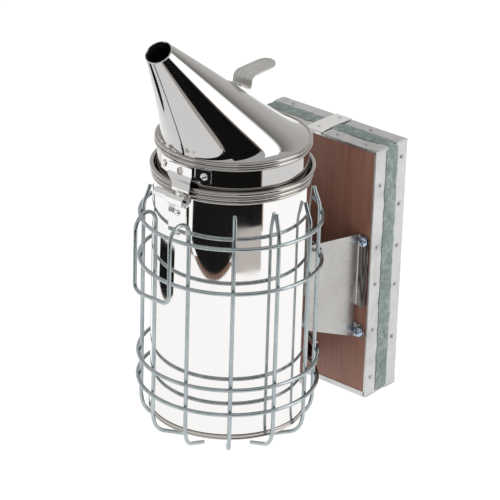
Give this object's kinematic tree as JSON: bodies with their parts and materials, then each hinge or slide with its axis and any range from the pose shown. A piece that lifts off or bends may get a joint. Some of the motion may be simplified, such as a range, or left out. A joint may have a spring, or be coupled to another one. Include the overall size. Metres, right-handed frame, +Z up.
{
  "type": "bee smoker",
  "caption": "Hand-held bee smoker: steel fire can with hinged spouted lid, wire heat guard with hanging hook, and wooden spring-return bellows on a bracket",
  "frame": {"origin": "on the floor under the middle of the whole smoker", "axes": "+Z up, -Y towards the spout and lid hinge, +Y towards the bellows, X along the hinge pin"},
  "size_m": [0.119, 0.188, 0.2809],
  "materials": {
    "polished_steel": "mirror-polished stainless sheet",
    "brushed_steel": "brushed stainless strip",
    "zinc_wire": "galvanised wire and zinc-plated fasteners",
    "tin_sheet": "bright tinplate with fine rolling marks",
    "board_wood": "stained board, fine straight grain",
    "green_leather": "pale green leathercloth with soft creases"
  },
  "bodies": {
    "can": {"can_body": "polished_steel", "can_bottom": "polished_steel", "can_hinge_leaf": "polished_steel", "can_rivet_upper": "polished_steel", "can_rivet_lower": "polished_steel", "bellows_bracket": "polished_steel", "top_strap": "polished_steel", "guard_ring_1": "zinc_wire", "guard_ring_2": "zinc_wire", "guard_ring_3": "zinc_wire", "guard_ring_4": "zinc_wire", "guard_wire_1": "zinc_wire", "guard_wire_2": "zinc_wire", "guard_wire_3": "zinc_wire", "guard_wire_4": "zinc_wire", "guard_wire_5": "zinc_wire", "guard_wire_6": "zinc_wire", "guard_wire_7": "zinc_wire", "guard_wire_8": "zinc_wire", "guard_wire_9": "zinc_wire", "guard_wire_10": "zinc_wire", "bracket_screw_upper_left": "zinc_wire", "bracket_screw_upper_right": "zinc_wire", "bracket_screw_lower_left": "zinc_wire", "bracket_screw_lower_right": "zinc_wire", "guard_hook": "zinc_wire", "hinge_pin": "zinc_wire", "bellows_spring": "zinc_wire", "front_trim_top": "tin_sheet", "front_trim_bottom": "tin_sheet", "front_trim_left": "tin_sheet", "front_trim_right": "tin_sheet", "air_inlet_tube": "tin_sheet", "front_board": "board_wood", "bellows_leather": "green_leather"},
    "lid": {"lid_collar": "polished_steel", "lid_cone": "polished_steel", "thumb_tab": "brushed_steel", "lid_hinge_leaf": "polished_steel", "lid_rivet_left": "polished_steel", "lid_rivet_right": "polished_steel"},
    "rear_bellows_board": {"back_board": "board_wood", "back_trim_top": "tin_sheet", "back_trim_bottom": "tin_sheet", "back_trim_left": "tin_sheet", "back_trim_right": "tin_sheet"},
    "grate": {"fire_grate": "tin_sheet"}
  },
  "joints": [
    {"name": "lid_hinge", "type": "hinge", "parent": "can", "child": "lid", "pos_m": [0, -0.07399, 0.1797], "axis": [1, 0, 0], "range_deg": [0, 115]},
    {"name": "bellows_squeeze", "type": "hinge", "parent": "can", "child": "rear_bellows_board", "pos_m": [0, 0.08251, 0.1835], "axis": [-1, 0, 0], "range_deg": [0, 2.3], "stiffness_Nm_per_rad": 4, "springref_deg": -4.58, "deforming": ["bellows_leather", "bellows_spring"]},
    {"name": "grate_lift", "type": "slide", "parent": "can", "child": "grate", "axis": [0, 0, 1], "range_m": [0, 0.11]}
  ]
}
